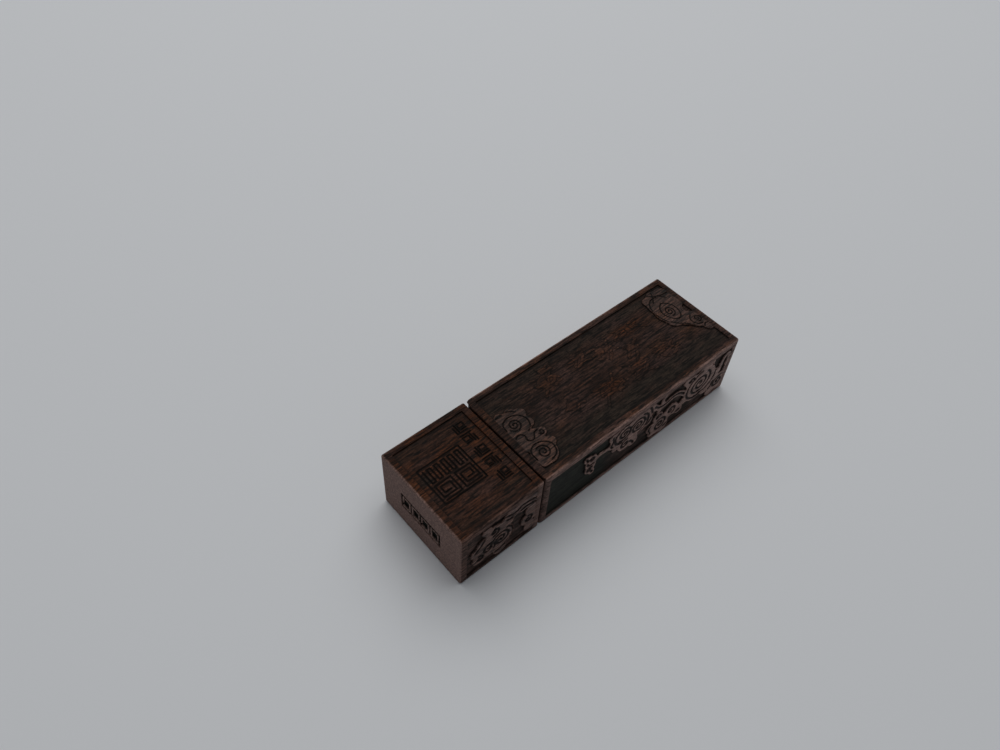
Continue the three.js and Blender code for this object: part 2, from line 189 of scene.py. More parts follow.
class Drawing:
    """What is carved on one face. Lobes and ribbons stand up as clouds, and lines are cut into them. Ridges
    are low worn strokes on the ground, and ground lines are cut into it."""

    def __init__(self, lobes=(), ribbons=(), lines=(), ridges=(), ground_lines=()):
        self.lobes, self.ribbons, self.lines = list(lobes), list(ribbons), list(lines)
        self.ridges, self.ground_lines = list(ridges), list(ground_lines)

    def joined(self, *others):
        whole = Drawing()
        for each in (self,) + others:
            for part in ("lobes", "ribbons", "lines", "ridges", "ground_lines"):
                getattr(whole, part).extend(getattr(each, part))
        return whole

    def mirrored(self):
        flip = np.array((1, -1))
        lobes = [(u, -v, radius) for u, v, radius in self.lobes]
        return Drawing(lobes, lines=[line * flip for line in self.lines])

    def relief(self, u, v):
        """Signed distance into the clouds, with their lobes run softly together."""
        total = np.full(len(u), 1e-9)
        for cu, cv, radius in self.lobes:
            total += np.exp(np.clip((radius - np.hypot(u - cu, v - cv)) / blend_radius, -40, 40))
        for line, half_width in self.ribbons:
            total += np.exp(np.clip((half_width - distance_to(line, u, v)) / blend_radius, -40, 40))
        return blend_radius * np.log(total)

    def cut(self, u, v):
        """Distance to the nearest cut line."""
        relief = self.relief(u, v)
        nearest = np.full(len(u), far_off)
        for line in self.lines:
            nearest = np.minimum(nearest, distance_to(line, u, v))
        nearest = np.where(relief > cloud_margin, nearest, far_off)
        for line in self.ground_lines:
            nearest = np.minimum(nearest, np.maximum(distance_to(line, u, v) - bold, 0))
        return nearest

    def ridge(self, u, v):
        nearest = np.full(len(u), far_off)
        for line in self.ridges:
            nearest = np.minimum(nearest, distance_to(line, u, v))
        return smooth_step(*ridge_reach, nearest)


def smooth_step(low, high, value):
    t = np.clip((value - low) / (high - low), 0, 1)
    return t * t * (3 - 2 * t)


def distance_to(line, u, v, reach=1.2):
    """How far each point is from an open line of straight runs, where that is less than the reach."""
    low, high = line.min(0) - reach, line.max(0) + reach
    near = np.flatnonzero((u > low[0]) & (u < high[0]) & (v > low[1]) & (v < high[1]))
    pu, pv = u[near], v[near]
    nearest = np.full(len(near), far_off)
    for (au, av), (bu, bv) in zip(line, line[1:]):
        du, dv = bu - au, bv - av
        t = np.clip(((pu - au) * du + (pv - av) * dv) / max(du * du + dv * dv, 1e-12), 0, 1)
        nearest = np.minimum(nearest, np.hypot(pu - au - t * du, pv - av - t * dv))
    distance = np.full(len(u), far_off)
    distance[near] = nearest
    return distance


# --- the drawings. U runs from the block's cap end. V runs up from the underside, or across from the middle.

body_side = Drawing(
    lobes=[
        # a small upright wisp
        (10.7, 10.7, 0.9), (12.0, 10.0, 1.0), (11.3, 8.7, 0.9), (12.3, 7.9, 0.8), (11.6, 6.9, 1.1),
        (12.4, 5.6, 0.7),
        # the pair of scrolls under the border
        (17.6, 9.4, 1.3), (18.1, 11.2, 1.6), (20.2, 10.5, 2.9), (23.8, 9.9, 3.3), (22.0, 12.3, 2.0),
        (26.4, 11.6, 1.9), (21.1, 6.8, 2.0), (23.4, 5.4, 1.2), (26.8, 8.6, 1.2), (18.2, 7.4, 0.8),
        (16.9, 11.9, 0.9),
        # the low pair
        (31.2, 4.1, 2.6), (34.0, 6.2, 1.9), (30.1, 7.2, 1.3), (28.6, 4.6, 1.1), (35.8, 5.2, 1.2),
        (36.9, 4.2, 0.9), (32.5, 2.4, 1.4), (29.4, 2.6, 1.0),
        # the great scroll and the one below it
        (41.9, 8.45, 4.4), (38.4, 11.6, 1.5), (36.9, 12.4, 0.9), (38.0, 6.4, 1.2), (45.9, 7.6, 1.9),
        (46.9, 5.2, 1.8), (48.8, 4.0, 2.4), (47.0, 2.4, 1.4), (49.8, 2.3, 1.0), (44.6, 4.4, 1.3),
        (43.0, 12.6, 2.0),
    ],
    ribbons=[
        (flowing((12.8, 9.0), (14.2, 9.4), (16.6, 9.2)), 0.35),
        (flowing((27.6, 12.2), (29.3, 10.7), (31.4, 10.3), (33.6, 10.9), (35.6, 10.2), (37.3, 8.8)), 0.6),
        (flowing((29.6, 9.2), (30.6, 10.6), (30.2, 12.2), (30.9, 13.3)), 0.35),
        (flowing((47.9, 7.6), (48.1, 10.6), (49.0, 12.1), (50.0, 11.0), (50.2, 4.8)), 0.42),
    ],
    lines=[
        spiral((11.8, 9.9), 0.75, 1.0, 150, -1),
        spiral((11.6, 6.9), 0.75, 1.0, 40),
        flowing((10.3, 11.1), (10.7, 10.3), (10.7, 9.4), (11.3, 8.4), (12.5, 8.3)),
        flowing((12.1, 6.1), (12.6, 5.4)),
        spiral((20.15, 10.5), 1.95, 1.9, 235),
        spiral((20.15, 10.5), 2.5, 0.42, 110, eye=2.5),
        spiral((23.8, 9.9), 2.25, 2.2, 160, -1),
        spiral((23.8, 9.9), 2.85, 0.4, -75, eye=2.85),
        spiral((21.1, 6.6), 1.35, 1.25, 80),
        flowing((22.4, 6.3), (23.3, 5.4), (23.6, 4.7)),
        flowing((25.7, 7.2), (27.0, 8.3), (27.6, 9.9), (27.1, 12.0), (26.3, 13.4)),
        flowing((17.3, 8.5), (16.8, 9.4), (17.2, 10.6), (16.9, 11.9)),
        flowing((19.0, 13.4), (20.8, 12.9), (22.3, 13.4)),
        spiral((31.2, 4.1), 1.95, 1.8, 120, -1),
        spiral((34.0, 6.2), 1.3, 1.2, 300),
        spiral((30.1, 7.2), 0.8, 0.9, 10),
        flowing((33.0, 2.2), (34.3, 3.2), (35.6, 4.0), (37.0, 4.2)),
        flowing((28.5, 5.9), (28.1, 4.4), (28.8, 2.9)),
        flowing((28.0, 12.0), (29.5, 10.8), (31.4, 10.4), (33.6, 11.0), (35.6, 10.3), (37.0, 9.0)),
        spiral((41.9, 8.45), 3.2, 2.3, 60, -1, eye=0.25),
        spiral((41.9, 8.45), 3.85, 0.55, 95, eye=3.85),
        spiral((38.3, 11.7), 0.85, 0.9, 0),
        spiral((48.8, 4.0), 1.8, 1.6, 60),
        flowing((44.7, 12.3), (46.2, 10.4), (46.6, 8.2), (46.0, 6.3), (44.3, 4.7)),
        flowing((45.6, 3.3), (46.6, 3.9), (46.9, 5.4)),
    ],
)

cap_side = Drawing(
    lobes=[
        (8.9, 6.2, 3.0), (6.2, 5.8, 2.6), (7.3, 9.9, 1.9), (4.2, 4.4, 1.6), (3.4, 7.0, 1.2), (4.9, 8.6, 1.3),
        (8.8, 2.8, 1.5), (9.9, 10.2, 1.6), (11.2, 12.0, 1.6), (13.5, 11.8, 1.6), (15.8, 11.6, 1.7),
        (15.6, 8.6, 1.3), (15.1, 5.8, 1.6), (15.8, 3.0, 1.4), (5.6, 11.8, 1.0), (16.4, 6.5, 1.2),
    ],
    lines=[
        spiral((8.9, 6.2), 2.25, 2.1, 200, -1),
        spiral((6.1, 5.7), 1.6, 1.45, 320),
        spiral((8.9, 6.2), 2.8, 0.35, -65, eye=2.8),
        spiral((7.3, 9.9), 1.2, 1.2, 260),
        spiral((4.2, 4.3), 0.9, 1.0, 100, -1),
        spiral((15.1, 5.8), 1.1, 1.15, 90, -1),
        flowing((7.8, 2.7), (9.4, 2.9), (10.9, 4.0)),
        flowing((3.2, 7.2), (4.4, 8.4), (5.2, 9.8)),
        flowing((9.6, 12.3), (11.6, 11.5), (13.6, 12.2), (16.6, 11.5)),
        flowing((9.9, 10.9), (12.0, 10.3), (14.0, 11.0), (16.6, 10.3)),
    ],
)

seam_cloud = Drawing(
    lobes=[
        (3.6, 1.2, 2.8), (3.8, -6.3, 2.5), (2.6, -2.6, 2.1), (5.0, -2.8, 1.4), (6.4, -2.7, 0.9),
        (6.0, 2.6, 1.1), (2.4, 3.8, 1.1), (6.3, -5.2, 1.0), (2.3, -8.0, 0.7), (4.6, 3.8, 0.9),
        (5.9, 0.2, 1.0),
    ],
    lines=[
        spiral((3.5, 1.2), 1.4, 2.0, 200),
        flowing((1.5, 0.9), (1.9, 2.4), (3.4, 3.1), (5.3, 2.6), (6.2, 1.0), (5.7, -0.6), (4.7, -1.3)),
        flowing((1.7, 4.2), (2.9, 4.3), (4.4, 4.2), (5.6, 3.3)),
        flowing((1.7, -1.3), (2.6, -0.9), (3.4, -1.6), (3.2, -2.8), (4.2, -3.2), (5.2, -2.2), (6.1, -2.0)),
        spiral((6.3, -2.8), 0.6, 1.2, 180),
        spiral((3.75, -6.2), 1.4, 1.9, 120, -1),
        flowing((1.7, -6.9), (1.9, -5.0), (3.4, -4.1), (5.2, -4.6), (6.1, -6.0), (5.4, -7.7), (3.8, -8.3)),
    ],
)

tail_cloud = Drawing(
    lobes=[
        (46.3, 2.9, 3.1), (46.0, 5.4, 2.5), (46.6, 7.4, 1.6), (48.6, 7.0, 1.8), (49.2, 4.2, 1.8),
        (47.6, -0.4, 1.9), (49.3, -1.9, 2.1), (49.9, -4.4, 1.1), (44.6, 7.4, 0.9), (45.4, 0.6, 1.6),
    ],
    lines=[
        spiral((46.4, 2.8), 1.1, 1.8, 250, 1, 1.2),
        flowing((46.6, 5.4), (45.3, 4.4), (44.8, 2.8), (45.5, 1.0), (46.7, 0.3), (47.9, 1.3), (48.2, 3.2),
                (47.6, 4.6), (46.6, 5.4)),
        flowing((44.0, 0.9), (43.5, 2.9), (43.7, 5.0), (44.6, 6.6), (46.0, 7.3), (47.8, 7.0), (48.7, 6.0)),
        flowing((45.4, 6.3), (46.6, 7.6), (47.2, 8.9)),
        flowing((45.7, 8.5), (47.0, 7.6), (48.8, 6.9), (50.1, 6.8)),
        flowing((44.4, 0.6), (45.4, -0.6), (46.6, -1.6), (47.6, -2.9)),
        spiral((49.4, -1.9), 0.9, 1.5, 240),
        spiral((49.4, -1.9), 1.5, 0.45, 110, eye=1.5),
        flowing((49.0, -4.3), (49.6, -3.8), (50.2, -3.9)),
    ],
)


def worn_figure(u, v, long, wide, lean, seed):
    """A worn low figure of the middle field: short soft strokes that wander, with a curl among them."""
    strokes = [spiral((u - 0.3 * long, v + 0.2 * wide), 0.8, 1.2, 90 + 70 * seed, 1 if seed % 2 else -1)]
    rows = round(2 * wide / 0.85)
    for row in range(rows):
        across = wide * (2 * (row + 0.5) / rows - 1)
        for part in (-0.55, 0.5):
            half = min(0.4 * long, 0.9) * (0.5 + abs(math.sin(seed + 2.3 * row + 5 * part)))
            middle = (u + part * long + 0.3 * math.sin(1.7 * seed + 1.9 * row), v + across)
            turn = lean + 0.9 * math.sin(2.1 * seed + 3.7 * row + 2 * part)
            bend = 0.25 * math.cos(seed + 2.9 * row)
            ends = [(-half, -turn * half), (0, bend), (half, turn * half)]
            strokes.append(flowing(*[(middle[0] + a, middle[1] + b) for a, b in ends], steps=4))
    return Drawing(ridges=strokes)


# where each is, its half length and width, its lean, a number for its strokes, and how warm it is rubbed
figures = [
    (15.0, 5.0, 2.6, 1.9, 0.1, 1, 0.3),
    (16.3, 7.4, 1.6, 0.9, 0.0, 4, 0.9),
    (23.6, 5.5, 1.6, 1.9, 0.4, 2, 0.4),
    (28.4, 3.9, 2.4, 1.7, 0.35, 3, 0.6),
    (36.2, 5.0, 4.3, 1.3, 0.1, 5, 1.0),
    (15.2, -2.2, 1.8, 1.0, 0.1, 6, 0.2),
    (23.2, -3.6, 3.2, 1.9, 0.2, 7, 0.9),
    (31.0, -3.4, 2.4, 2.0, 0.3, 8, 0.8),
    (38.6, -3.2, 2.8, 1.7, -0.2, 9, 0.6),
    (33.6, 1.0, 2.0, 0.9, 0.1, 10, 0.2),
]
body_top = seam_cloud.joined(tail_cloud, *[worn_figure(*each[:6]) for each in figures])
underside = seam_cloud.joined(tail_cloud).mirrored()


def square_scroll(u, v, size, turns, hand, tall=1.0):
    """A squared spiral of straight runs, the old fret ornament."""
    step = size / (2 * turns)
    corner = np.array((-size / 2, -size / 2))
    corners = [corner]
    reach = size
    for leg in range(round(4 * turns) - 1):
        corner = corner + reach * np.array(((1, 0), (0, 1), (-1, 0), (0, -1))[leg % 4])
        corners.append(corner)
        if leg % 2 == 0 and leg > 0:
            reach -= step
    return np.array(corners) * (hand, tall) + (u, v)


# a square of fret work: a frame, bars that double back, and two squared scrolls
bars = [(3.45 + 0.74 * k, 0.8 if (k + up) % 2 else 3.6) for k in range(11) for up in (0, 1)]
cap_top = Drawing(
    ground_lines=[
        np.array([(2.7, -3.7), (11.5, -3.7), (11.5, 4.3), (2.7, 4.3), (2.7, -3.7)]),
        np.array(bars),
        square_scroll(5.0, -1.5, 3.3, 2.5, 1),
        square_scroll(9.2, -1.5, 3.3, 2.5, -1),
    ]
)
# a column of five small fret marks beside it
for place, v in enumerate((7.1, 4.1, 1.1, -1.9, -4.9)):
    hand = 1 if place % 2 else -1
    cap_top.ground_lines += [
        square_scroll(14.1 - 0.45 * hand, v, 1.2, 1.5, hand, 1.1),
        np.array([(14.1 + 0.6 * hand, v + 0.9), (14.1 + 0.6 * hand, v - 0.9)]),
        np.array([(14.1 + 1.1 * hand, v + 0.4), (14.1 + 1.1 * hand, v - 1.1)]),
        np.array([(13.0, v + 1.15 * hand), (15.2, v + 1.15 * hand)]),
    ]

plate_places = ((-3.9, 1), (-1.3, -1), (1.3, 1), (3.9, -1))
plate_ribbon = 0.13  # half the width of a scroll's raised line
plate_scrolls = Drawing(
    ribbons=[(square_scroll(u, 0, 1.8, 1.25, hand, 1.5), plate_ribbon) for u, hand in plate_places]
)

# --- cutting a block


def block_solid(node, seam_x, hollow, bores):
    """The plain block in mm: eased edges, the plug's pocket or slot, and the magnets' bores."""
    widest_easing = 2  # an edge's weight is its share of this
    low, high = corners_mm(node)
    bm = bmesh.new()
    bmesh.ops.create_cube(bm, size=1)
    bmesh.ops.scale(bm, vec=high - low, verts=bm.verts)
    bmesh.ops.translate(bm, vec=(low + high) / 2, verts=bm.verts)
    weights = bm.edges.layers.float.new("bevel_weight_edge")
    for edge in bm.edges:
        middle = (edge.verts[0].co + edge.verts[1].co) / 2
        at_seam = abs(middle.x - seam_x) < 0.01
        if abs(edge.verts[0].co.z - edge.verts[1].co.z) > 1:
            kind = ("seam_far" if middle.y > 0 else "seam_near") if at_seam else "upright"
        elif abs(edge.verts[0].co.x - edge.verts[1].co.x) > 1:
            kind = "long"
        else:
            kind = "seam" if at_seam else "end"
        radius = (edge_radius_anywhere | edge_radius[node])[kind]
        edge[weights] = radius / widest_easing

    cutter = bmesh.new()
    cube = bmesh.ops.create_cube(cutter, size=1)["verts"]
    bmesh.ops.scale(cutter, vec=hollow[1] - hollow[0], verts=cube)
    bmesh.ops.translate(cutter, vec=(hollow[0] + hollow[1]) / 2, verts=cube)
    for centre, radius, length in bores:
        lie_down = Matrix.Translation(centre) @ Matrix.Rotation(math.pi / 2, 4, "Y")
        bmesh.ops.create_cone(cutter, cap_ends=True, segments=40, radius1=radius, radius2=radius,
                              depth=length, matrix=lie_down)

    objects = []
    for name, solid in ((node + "_plain", bm), (node + "_cutter", cutter)):
        mesh = bpy.data.meshes.new(name)
        solid.to_mesh(mesh)
        solid.free()
        objects.append(bpy.data.objects.new(name, mesh))
        bpy.context.scene.collection.objects.link(objects[-1])
    easing = objects[0].modifiers.new("eased_edges", "BEVEL")
    easing.limit_method = "WEIGHT"
    easing.width = widest_easing
    easing.segments = 5
    cutting = objects[0].modifiers.new("hollow", "BOOLEAN")
    cutting.object = objects[1]
    cutting.operation = "DIFFERENCE"
    cutting.solver = "EXACT"
    evaluated = objects[0].evaluated_get(bpy.context.evaluated_depsgraph_get())
    hollowed = bmesh.new()
    hollowed.from_mesh(evaluated.to_mesh())
    evaluated.to_mesh_clear()
    for each in objects:
        bpy.data.meshes.remove(each.data)
    return hollowed, low, high


def rule(bm, axis, low, high, edges):
    """Cuts even lines across the block, with close pairs where a sunk panel's wall begins and ends."""
    fixed = {end for step in end_lines for end in (low + step, high - step)}
    for edge, inward in edges:
        fixed |= {edge - inward * wall_run, edge, edge + inward * wall_run, edge + inward * 2 * wall_run}
    fixed = sorted(fixed)
    positions = [fixed[-1]]
    for a, b in zip(fixed, fixed[1:]):
        steps = max(1, round((b - a) / cell))
        positions += [a + (b - a) * k / steps for k in range(steps)]
    normal = Vector((0, 0, 0))
    normal[axis] = 1
    for position in positions:
        everything = bm.verts[:] + bm.edges[:] + bm.faces[:]
        bmesh.ops.bisect_plane(bm, geom=everything, dist=1e-5, plane_co=normal * position, plane_no=normal)


class CarvedFace:
    """One flat face of a block: the axis it faces and its level there, the place of its drawing's origin,
    its sunk panel, what is carved in the panel, and where its ground is scorched and where it is warm."""

    def __init__(self, facing, level, u_axis, v_axis, origin, panel, depth, drawing, scorch, warm):
        self.axis, self.sign = abs(facing) - 1, math.copysign(1, facing)
        self.level, self.u_axis, self.v_axis, self.origin = level, u_axis, v_axis, origin
        self.panel, self.depth, self.drawing, self.scorch, self.warm = panel, depth, drawing, scorch, warm

    def on(self, points):
        return np.flatnonzero(np.abs(points[:, self.axis] - self.level) < 1e-3)

    def drawn(self, points):
        return points[:, self.u_axis] - self.origin[0], points[:, self.v_axis] - self.origin[1]

    def inside(self, u, v):
        (u0, v0), (u1, v1) = self.panel
        return np.minimum(np.minimum(u - u0, u1 - u), np.minimum(v - v0, v1 - v))

    def busy(self, points, reach):
        """Which points are close enough to a drawn edge to need small cells."""
        u, v = self.drawn(points)
        near = (self.drawing.cut(u, v) < reach) | (np.abs(self.drawing.relief(u, v)) < reach)
        near |= self.drawing.ridge(u, v) > 0
        return near & (self.inside(u, v) > 0)

    def snapped(self, points, reach):
        """Points near a cloud's edge or a line's middle move onto it, so that both run smooth."""
        u, v = self.drawn(points)
        free = self.inside(u, v) > 2 * wall_run + reach
        for measure in (self.drawing.cut, self.drawing.relief):
            value = measure(u, v)
            close = np.flatnonzero((np.abs(value) < reach) & free)
            cu, cv = u[close], v[close]
            step = 0.02  # between a point and each reading of the slope
            least, most = 0.3, 3  # of a slope squared, which is near 1 beside a clean line
            slope_u = (measure(cu + step, cv) - measure(cu - step, cv)) / (2 * step)
            slope_v = (measure(cu, cv + step) - measure(cu, cv - step)) / (2 * step)
            steep = slope_u**2 + slope_v**2
            clear = (steep > least) & (steep < most)
            pull = np.where(clear, value[close] / np.maximum(steep, least), 0)
            u[close] -= pull * slope_u
            v[close] -= pull * slope_v
            free[close] = False
        result = points.copy()
        result[:, self.u_axis] = u + self.origin[0]
        result[:, self.v_axis] = v + self.origin[1]
        return result

    def depth_and_marks(self, points):
        u, v = self.drawn(points)
        relief = self.drawing.relief(u, v)
        cut = self.drawing.cut(u, v)
        ridge = self.drawing.ridge(u, v)
        sunk = smooth_step(0, wall_run, self.inside(u, v))
        standing = smooth_step(-wall_run, -0.01, relief)
        broad = self.axis == 2
        deep = line_depth if broad else side_line_depth
        half_width = line_half_width if broad else side_line_half_width
        groove = deep * (1 - smooth_step(0.0, half_width, cut))
        depth = sunk * ((self.depth - ridge_height * ridge) * (1 - standing) + groove)
        # painted shade at the foot of the panel's walls and round the foot of each cloud, kept in the corner
        # mark
        by_wall = smooth_step(*corner_shade_reach, self.inside(u, v))
        corner = np.maximum(by_wall, smooth_step(*cloud_foot_shade_reach, relief))
        marks = {"relief": np.clip(relief, -1, 1), "cut": np.clip(cut / half_width, 0, 4), "sunk": sunk,
                 "scorch": self.scorch(u, v), "warm": self.warm(u, v), "rubbed": ridge, "corner": corner}
        return depth, marks


busy_reach = 0.75 * cell  # from a drawn edge, where cells are small
wear_reach = (0.15, 1.3)  # from a block's edge: worn through, and not worn
seam_reach = (1.6, 1.0)  # from the seam, where the side's painted sheen and rubbed paleness change
side_reach = (0.5, 0.15)  # from the side's face, as the next is from the end's
end_reach = (0.45, 0.1)


def carve(bm, faces, low, high, end_x, warm, wear, pale_side, pale_seam, pale_end):
    """Small cells where there is carving, then every point of the faces goes down to its depth."""
    small = cell / (fine_cuts + 1)
    centres = np.array([f.calc_center_median() for f in bm.faces])
    bm.faces.ensure_lookup_table()
    edges = set()
    for face in faces:
        on = face.on(centres)
        for index in on[face.busy(centres[on], busy_reach)]:
            edges |= set(bm.faces[int(index)].edges)
    bmesh.ops.subdivide_edges(bm, edges=list(edges), cuts=fine_cuts, use_grid_fill=True)

    points = np.array([v.co for v in bm.verts])
    from_faces = (high - low) / 2 - np.abs(points - (low + high) / 2)
    from_faces[:, 0] = np.abs(points[:, 0] - end_x)
    from_edge = np.sort(from_faces, axis=1)[:, 1]
    marks = {"relief": np.ones(len(points)), "cut": np.full(len(points), 4.0)}
    marks |= {name: np.zeros(len(points)) for name in ("sunk", "scorch", "rubbed", "corner")}
    marks["warm"] = np.full(len(points), warm)
    marks["wear"] = wear * (1 - smooth_step(*wear_reach, from_edge))
    # the sides and the end are made paler and greyer: rubbed wood, and a painted sheen for the pale floor
    # reflected in these upright faces
    seam_x = low[0] + high[0] - end_x
    near_seam = smooth_step(*seam_reach, np.abs(points[:, 0] - seam_x))
    pale = pale_side + (pale_seam - pale_side) * near_seam
    marks["side"] = pale * smooth_step(*side_reach, high[1] - np.abs(points[:, 1]))
    marks["plain_end"] = pale_end * smooth_step(*end_reach, np.abs(points[:, 0] - end_x))
    for face in faces:
        on = face.on(points)
        points[on] = face.snapped(points[on], snap_share * small)
        depth, found = face.depth_and_marks(points[on])
        keep = found["sunk"] > 0
        points[on[keep], face.axis] -= face.sign * depth[keep]
        for name, values in found.items():
            marks[name][on[keep]] = values[keep]
    marks["plain_end"] *= 1 - 0.45 * marks["sunk"]
    for vertex, place in zip(bm.verts, points):
        vertex.co = place * MM
    return marks


carved_edge_angle = math.radians(42)
weld_distance = 0.001


def finish_block(bm, name, marks, body, node):
    """Makes the finished block, with its marks for the material, and hides the node it stands for."""
    mesh = bpy.data.meshes.new(name)
    bm.to_mesh(mesh)
    bm.free()
    for mark, values in marks.items():
        attribute = mesh.attributes.new(mark, "FLOAT", "POINT")
        attribute.data.foreach_set("value", values.astype(np.float32))
    # points that the easing and the rules left in the same place are welded
    welded = bmesh.new()
    welded.from_mesh(mesh)
    bmesh.ops.remove_doubles(welded, verts=welded.verts, dist=weld_distance * MM)
    welded.to_mesh(mesh)
    welded.free()
    mesh.materials.append(rosewood)
    mesh.shade_smooth()
    mesh.set_sharp_from_angle(angle=carved_edge_angle)
    piece = bpy.data.objects.new(name, mesh)
    bpy.context.scene.collection.objects.link(piece)
    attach(piece, body)
    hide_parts(node)


def rosewood_material():
    """Oiled rosewood, cut by a small cutter and scorched in the ground. The grain runs along the drive, in
    dark streaks about a millimetre wide with open pores. The sides and the cap's end are rubbed paler,
    and paler still with a painted sheen for the pale floor reflected in them."""
    material, tree, shader = new_material("oiled_rosewood")
    place = add_node(tree, "TexCoord").outputs["Object"]
    mark = {
        name: add_node(tree, "Attribute", {"attribute_name": name}).outputs["Fac"]
        for name in (
            "relief", "cut", "sunk", "scorch", "warm", "rubbed", "corner", "wear", "side", "plain_end",
        )
    }
    # noise drawn out along the grain: its size along and across in mm, its detail and its roughness
    grain = {}
    for name, along, across, detail, rough in (
        ("streaks", 12, 1.1, 4, 0.65),
        ("fibres", 3.4, 0.4, 4, 0.65),
        ("pores", 2.2, 0.27, 2, 0.5),
        ("patches", 7, 3.5, 3, 0.6),
        ("hazes", 11, 6, 2, 0.5),
        ("speckle", 0.45, 0.3, 3, 0.7),
    ):
        stretch = (1 / (along * MM), 1 / (across * MM), 1 / (across * MM))
        shift = (across, along, detail)  # so that no two kinds line up
        vector = add_node(tree, "Mapping", Vector=place, Scale=stretch, Location=shift)
        grain[name] = add_node(tree, "TexNoise", Vector=vector, Scale=1.0, Detail=detail, Roughness=rough)

    # how much of each, from 0 to 1
    soft = {"interpolation_type": "SMOOTHSTEP"}
    amount = {}
    for name, source, low, high, least, most in (
        ("streak", grain["streaks"], 0.36, 0.62, 0, 1),
        ("haze", grain["hazes"], 0.42, 0.6, 0, 0.85),
        ("patch", grain["patches"], 0.5, 0.72, 0, 0.7),
        ("patchy", grain["patches"], 0.3, 0.7, 0.2, 0.7),
        ("pore", grain["pores"], 0.37, 0.48, 0.85, 0),
        ("fibre_light", grain["fibres"], 0.3, 0.7, 0.25, 2.1),
        ("speckle_light", grain["speckle"], 0.3, 0.7, 0.6, 1.4),
        ("fibre_wear", grain["fibres"], 0.35, 0.65, 0, 0.35),
        ("warm_streak", grain["patches"], 0.36, 0.6, 0.3, 1),
        ("raised", mark["relief"], -0.09, 0.0, 0, 1),
        ("green", mark["scorch"], 0.6, 0.8, 0, 1),
        ("line", mark["cut"], 0.65, 1.2, 0.9, 0),
        ("ridge_foot", mark["rubbed"], 0.0, 0.25, 0, 0.85),
        ("ridge_top", mark["rubbed"], 0.3, 0.6, 0, 0.85),
    ):
        amount[name] = add_node(tree, "MapRange", soft, Value=source, From_Min=low, From_Max=high,
                                To_Min=least, To_Max=most)
    for name, operation, first, second, *third in (
        ("warmth", "MULTIPLY", mark["warm"], "warm_streak"),
        ("edge_wear", "MULTIPLY", mark["wear"], "patchy"),
        ("ridge_wear", "MULTIPLY", mark["rubbed"], "fibre_wear"),
        ("wear", "MAXIMUM", "edge_wear", "ridge_wear"),
        ("low", "SUBTRACT", 1.0, "raised"),
        ("ground", "MULTIPLY", mark["sunk"], "low"),
        ("cloud", "MULTIPLY", mark["sunk"], "raised"),
        # painted sheen and rubbed paleness on the sides and the cap's end, and a little worn paleness on the
        # clouds
        ("bare", "MAXIMUM", mark["plain_end"], mark["side"]),
        ("paleness", "MULTIPLY_ADD", "cloud", 0.05, "bare"),
        ("polish", "MAXIMUM", mark["wear"], "cloud"),
        ("wander", "ADD", grain["streaks"], grain["patches"]),
        ("scorching", "ADD", mark["scorch"], "wander"),
        # painted shade: darker at the foot of walls and clouds, and along the flanks of the worn strokes
        ("char_edge", "SUBTRACT", "scorching", 1.05),
        ("corner", "MULTIPLY", mark["corner"], "ground"),
        ("corner_dark", "MULTIPLY", "corner", 0.6),
        ("ridge_dark", "SUBTRACT", "ridge_foot", "ridge_top"),
        ("dirt", "MAXIMUM", "corner_dark", "ridge_dark"),
        # cut lines near black: burnt, and painted shade in the grooves
        ("cut_line", "MULTIPLY", mark["sunk"], "line"),
        ("light", "MULTIPLY", "fibre_light", "speckle_light"),
        ("calm_side", "MULTIPLY_ADD", mark["side"], -0.5, 1.0),
        ("calm", "MULTIPLY_ADD", mark["plain_end"], -0.65, "calm_side"),
        ("pore_dark", "MULTIPLY", "pore", "calm"),
        ("light_change", "SUBTRACT", "light", 1.0),
        ("calm_light", "MULTIPLY_ADD", "light_change", "calm", 1.0),
        ("edge_light", "MULTIPLY_ADD", mark["wear"], 0.42, 0.92),
        ("cloud_light", "MULTIPLY_ADD", "cloud", 0.45, "edge_light"),
        ("all_light", "MULTIPLY", "calm_light", "cloud_light"),
    ):
        values = [amount[value] if isinstance(value, str) else value for value in (first, second, *third)]
        links = {"_" + str(index): value for index, value in enumerate(values)}
        amount[name] = add_node(tree, "Math", {"operation": operation}, **links)
    amount["char"] = add_node(tree, "MapRange", soft, Value=amount["char_edge"], From_Min=0.18,
                              From_Max=0.66, To_Max=0.92)
    amount["charred"] = add_node(tree, "Math", {"operation": "MULTIPLY"}, _0=amount["char"],
                                 _1=amount["ground"])

    # the colours, each laid over the one before
    blend = {"data_type": "RGBA"}
    char = add_node(tree, "Mix", blend, _0=amount["green"], _6=linear("#241c17"), _7=linear("#18221c"))
    colour = linear("#190e09")
    for layer, tint in (
        ("streak", linear("#30201a")),
        ("haze", linear("#352622")),
        ("patch", linear("#452a1b")),
        ("wear", linear("#452a1b")),
        ("warmth", linear("#3c1f0e")),
        # pale rose grey: painted sheen on the upright faces, with rubbed wood
        ("paleness", linear("#80675f")),
        ("charred", char),
        ("all_light", None),
        # painted shade at the feet of walls, clouds and worn strokes
        ("dirt", linear("#040302")),
        # cut lines: burnt, and painted shade in the grooves
        ("cut_line", linear("#040302")),
        ("pore_dark", linear("#040302")),
    ):
        if tint is None:
            colour = add_node(tree, "Mix", blend | {"blend_type": "MULTIPLY"}, _0=1.0, _6=colour,
                              _7=amount[layer])
        else:
            colour = add_node(tree, "Mix", blend, _0=amount[layer], _6=colour, _7=tint)
    tree.links.new(colour.outputs[2], shader.inputs["Base Color"])

